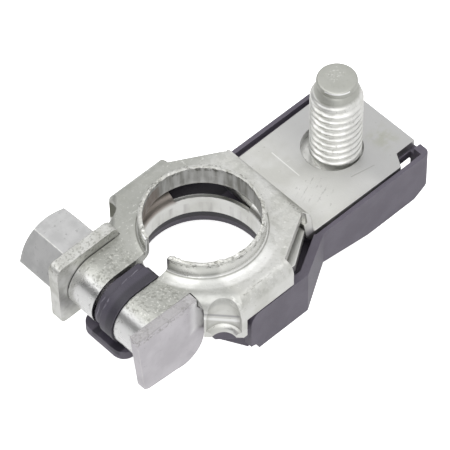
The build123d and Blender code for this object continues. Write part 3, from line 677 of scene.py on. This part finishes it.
def burr_section(angle):
    """The strip's cross-section, a low roof of five points given as (radius, height)."""
    inner, outer = burr_height(angle, 0), burr_height(angle, 1) * 0.7
    lean = BURR_LEAN * noise.noise(Vector((math.cos(angle) * LEAN_WAVES, math.sin(angle) * LEAN_WAVES, 5)))
    return [(RIM_IN + 0.02, -0.15), (RIM_IN + 0.02 + lean, inner), (RIM_IN + 0.2 + lean, inner * 0.8),
            (RIM_OUT - 0.22, outer), (RIM_OUT, -0.12)]


def burr_strip():
    """Points and faces of the strip along the rim, closed at both ends."""
    points, faces = [], []
    for i in range(BURR_STEPS + 1):
        angle = math.radians(-BURR_HALF_ANGLE + 2 * BURR_HALF_ANGLE * i / BURR_STEPS)
        section = burr_section(angle)
        points += [(r * math.cos(angle), r * math.sin(angle), z) for r, z in section]
    count = len(section)
    for i in range(BURR_STEPS):
        for j in range(count):
            k = (j + 1) % count
            faces.append((i * count + j, i * count + k, (i + 1) * count + k, (i + 1) * count + j))
    faces.append(tuple(range(count)))
    faces.append(tuple(BURR_STEPS * count + j for j in reversed(range(count))))
    return points, faces


# %% Burr
rim_marks = [
    mark(flecks(0.9, 0.54, 0.64, shift=1.0), "77766f", 0.6, rougher=0.15, height=-0.03),
]
torn_zinc = zinc_plating("torn_zinc_rim", "dededa", "c0c0b9", 0.34, 1.4, 0.3, 0.02, 0.3, rim_marks)
burr_points, burr_faces = burr_strip()
burr = mesh_piece("torn_rim", burr_points, burr_faces, torn_zinc, smooth_angle=50)
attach(burr, "root")
print("torn_rim:", len(burr_faces), "faces")

# %% [markdown]
# ## Floor
# The part stands on a small sheet of white paper. The camera sees the paper a little brighter than it is lit, so
# that it meets the white background, and metal sees it white, but it keeps the object's shadow.

# %% Floor
FLOOR_HALF, FLOOR_X, PAPER_GLOW = 0.09, 0.008, 0.9
WHITE = (1, 1, 1, 1)
low_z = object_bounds()[0][2]
corners = [(FLOOR_X + sx * FLOOR_HALF, sy * FLOOR_HALF, low_z) for sx, sy in ((-1, -1), (1, -1), (1, 1), (-1, 1))]
floor_mesh = bpy.data.meshes.new("floor")
floor_mesh.from_pydata(corners, [], [(0, 1, 2, 3)])
floor = bpy.data.objects.new("floor", floor_mesh)
scene.collection.objects.link(floor)

# %% Paper
paper, tree = new_tree("white_paper")
lit = add_node(tree, "BsdfDiffuse", {"Color": linear("f4f4f4")})
seen_dim = add_node(tree, "Emission", {"Color": WHITE, "Strength": PAPER_GLOW})
seen = add_node(tree, "AddShader", {0: seen_dim, 1: lit})
path = add_node(tree, "LightPath").node
mirrored = add_node(tree, "Emission", {"Color": WHITE, "Strength": 1.0})
surface = add_node(tree, "MixShader", {"Fac": path.outputs["Is Camera Ray"], 1: lit, 2: seen})
reflected = add_node(tree, "Math", {
    0: path.outputs["Is Glossy Ray"], 1: path.outputs["Is Transmission Ray"]}, operation="MAXIMUM")
surface = add_node(tree, "MixShader", {"Fac": reflected, 1: surface, 2: mirrored})
add_node(tree, "OutputMaterial", {"Surface": surface})
floor_mesh.materials.append(paper)

# %% [markdown]
# ## Room
# Metal shows what it reflects, so the white room is not even: it has two soft panels, and on one side a dark band
# just above the horizon that draws the loops' roundness. All of it is fixed to directions in the room. The camera
# itself sees the room plain white.

# %% Room's light
DARK_SIDE, DARK_GLOW = Vector((-0.88, 0.47, 0.0)).normalized(), 0.18
PANEL_SIDE, PANEL_GLOW = Vector((-0.38, 0.45, 0.81)).normalized(), 1.1
FRONT_SIDE, FRONT_GLOW = Vector((-0.42, -0.45, 0.787)).normalized(), 0.95
ROOM_GLOW = 0.92


def soft_panel(tree, towards, side, near, full, glow):
    """Light from a round panel in the direction side, between two cosines."""
    facing = add_node(tree, "VectorMath", {0: towards, 1: side}, output="Value", operation="DOT_PRODUCT")
    return add_node(tree, "MapRange", {
        "Value": facing, "From Min": near, "From Max": full, "To Min": 0.0, "To Max": glow},
        interpolation_type="SMOOTHSTEP")


# %% Room
world = bpy.data.worlds.new("white_room")
scene.world = world
world.use_nodes = True
tree = world.node_tree
tree.nodes.clear()
towards = add_node(tree, "TexCoord", output="Generated")
height = add_node(tree, "SeparateXYZ", {0: towards}, output="Z")
aside = add_node(tree, "VectorMath", {0: towards, 1: DARK_SIDE}, output="Value", operation="DOT_PRODUCT")
below = add_node(tree, "MapRange", {"Value": height, "From Min": 0.62, "From Max": 0.46},
                 interpolation_type="SMOOTHSTEP")
above = add_node(tree, "MapRange", {"Value": height, "From Min": 0.0, "From Max": 0.2},
                 interpolation_type="SMOOTHSTEP")
shade = add_node(tree, "MapRange", {"Value": aside, "From Min": 0.2, "From Max": 0.7},
                 interpolation_type="SMOOTHSTEP")
band = add_node(tree, "Math", {0: below, 1: above}, operation="MULTIPLY")
band = add_node(tree, "Math", {0: band, 1: shade}, operation="MULTIPLY")
wall = add_node(tree, "MapRange", {"Value": band, "To Min": ROOM_GLOW, "To Max": DARK_GLOW})
side_panel = soft_panel(tree, towards, PANEL_SIDE, 0.88, 0.97, PANEL_GLOW)
front_panel = soft_panel(tree, towards, FRONT_SIDE, 0.86, 0.96, FRONT_GLOW)
glow = add_node(tree, "Math", {0: side_panel, 1: front_panel}, operation="ADD")
glow = add_node(tree, "Math", {0: glow, 1: wall}, operation="ADD")

# %% White for the camera
path = add_node(tree, "LightPath").node
seen_white = add_node(tree, "Math", {
    0: path.outputs["Is Camera Ray"], 1: path.outputs["Is Transmission Ray"]}, operation="MAXIMUM")
glow = add_node(tree, "Mix", {"Factor": seen_white, "A": glow, "B": 1.0}, output="Result", data_type="FLOAT")
air = add_node(tree, "Background", {"Color": WHITE, "Strength": glow})
add_node(tree, "OutputWorld", {"Surface": air})
print("world:", world.name)

# %% [markdown]
# ## Overhead light
# One large, weak square lamp above the part gives the soft shadow under it.

# %% Overhead light
LAMP_AT, LAMP_SIZE, LAMP_WATTS = (0.02, -0.02, 0.4), 0.3, 0.2
lamp_data = bpy.data.lights.new("overhead", "AREA")
lamp_data.energy = LAMP_WATTS
lamp_data.size = LAMP_SIZE
lamp = bpy.data.objects.new("overhead", lamp_data)
lamp.location = LAMP_AT
lamp.rotation_euler = (-Vector(LAMP_AT)).to_track_quat("-Z", "Y").to_euler()
scene.collection.objects.link(lamp)

# %% [markdown]
# ## Camera
# The camera looks at the part from the near left, well above it, through a long lens, so that sizes shrink little
# with distance. Its axes are worked out from three angles, and its place from a distance and two offsets.

# %% Camera
AZIMUTH, ELEVATION, ROLL = math.radians(-42.929), math.radians(51.877), math.radians(-0.7156)
OFFSET_X, OFFSET_Y, DISTANCE = -3.25425, 1.45865, 557.789
FOCAL_PX, FRAME_PX, SENSOR_MM = 3909.814, 450, 36

back = Vector((math.sin(AZIMUTH) * math.cos(ELEVATION), -math.cos(AZIMUTH) * math.cos(ELEVATION),
               math.sin(ELEVATION)))
right = Vector((math.cos(AZIMUTH), math.sin(AZIMUTH), 0))
up = back.cross(right)
right, up = math.cos(ROLL) * right + math.sin(ROLL) * up, -math.sin(ROLL) * right + math.cos(ROLL) * up
camera_data = bpy.data.cameras.new("main_camera")
camera_data.sensor_width = SENSOR_MM
camera_data.lens = FOCAL_PX * SENSOR_MM / FRAME_PX
camera_data.clip_end = 10
camera = bpy.data.objects.new("main_camera", camera_data)
camera.matrix_world = Matrix((right, up, back)).transposed().to_4x4()
camera.location = (DISTANCE * back - OFFSET_X * right - OFFSET_Y * up) * MM
scene.collection.objects.link(camera)
scene.camera = camera
scene.view_settings.view_transform = "Standard"
print("lens:", round(camera_data.lens, 1), "mm")

# %% [markdown]
# ## Last update
# The view layer is brought up to date before the end. The visual model has to stay inside the CAD
# model's box.

# %% Last update
bpy.context.view_layer.update()
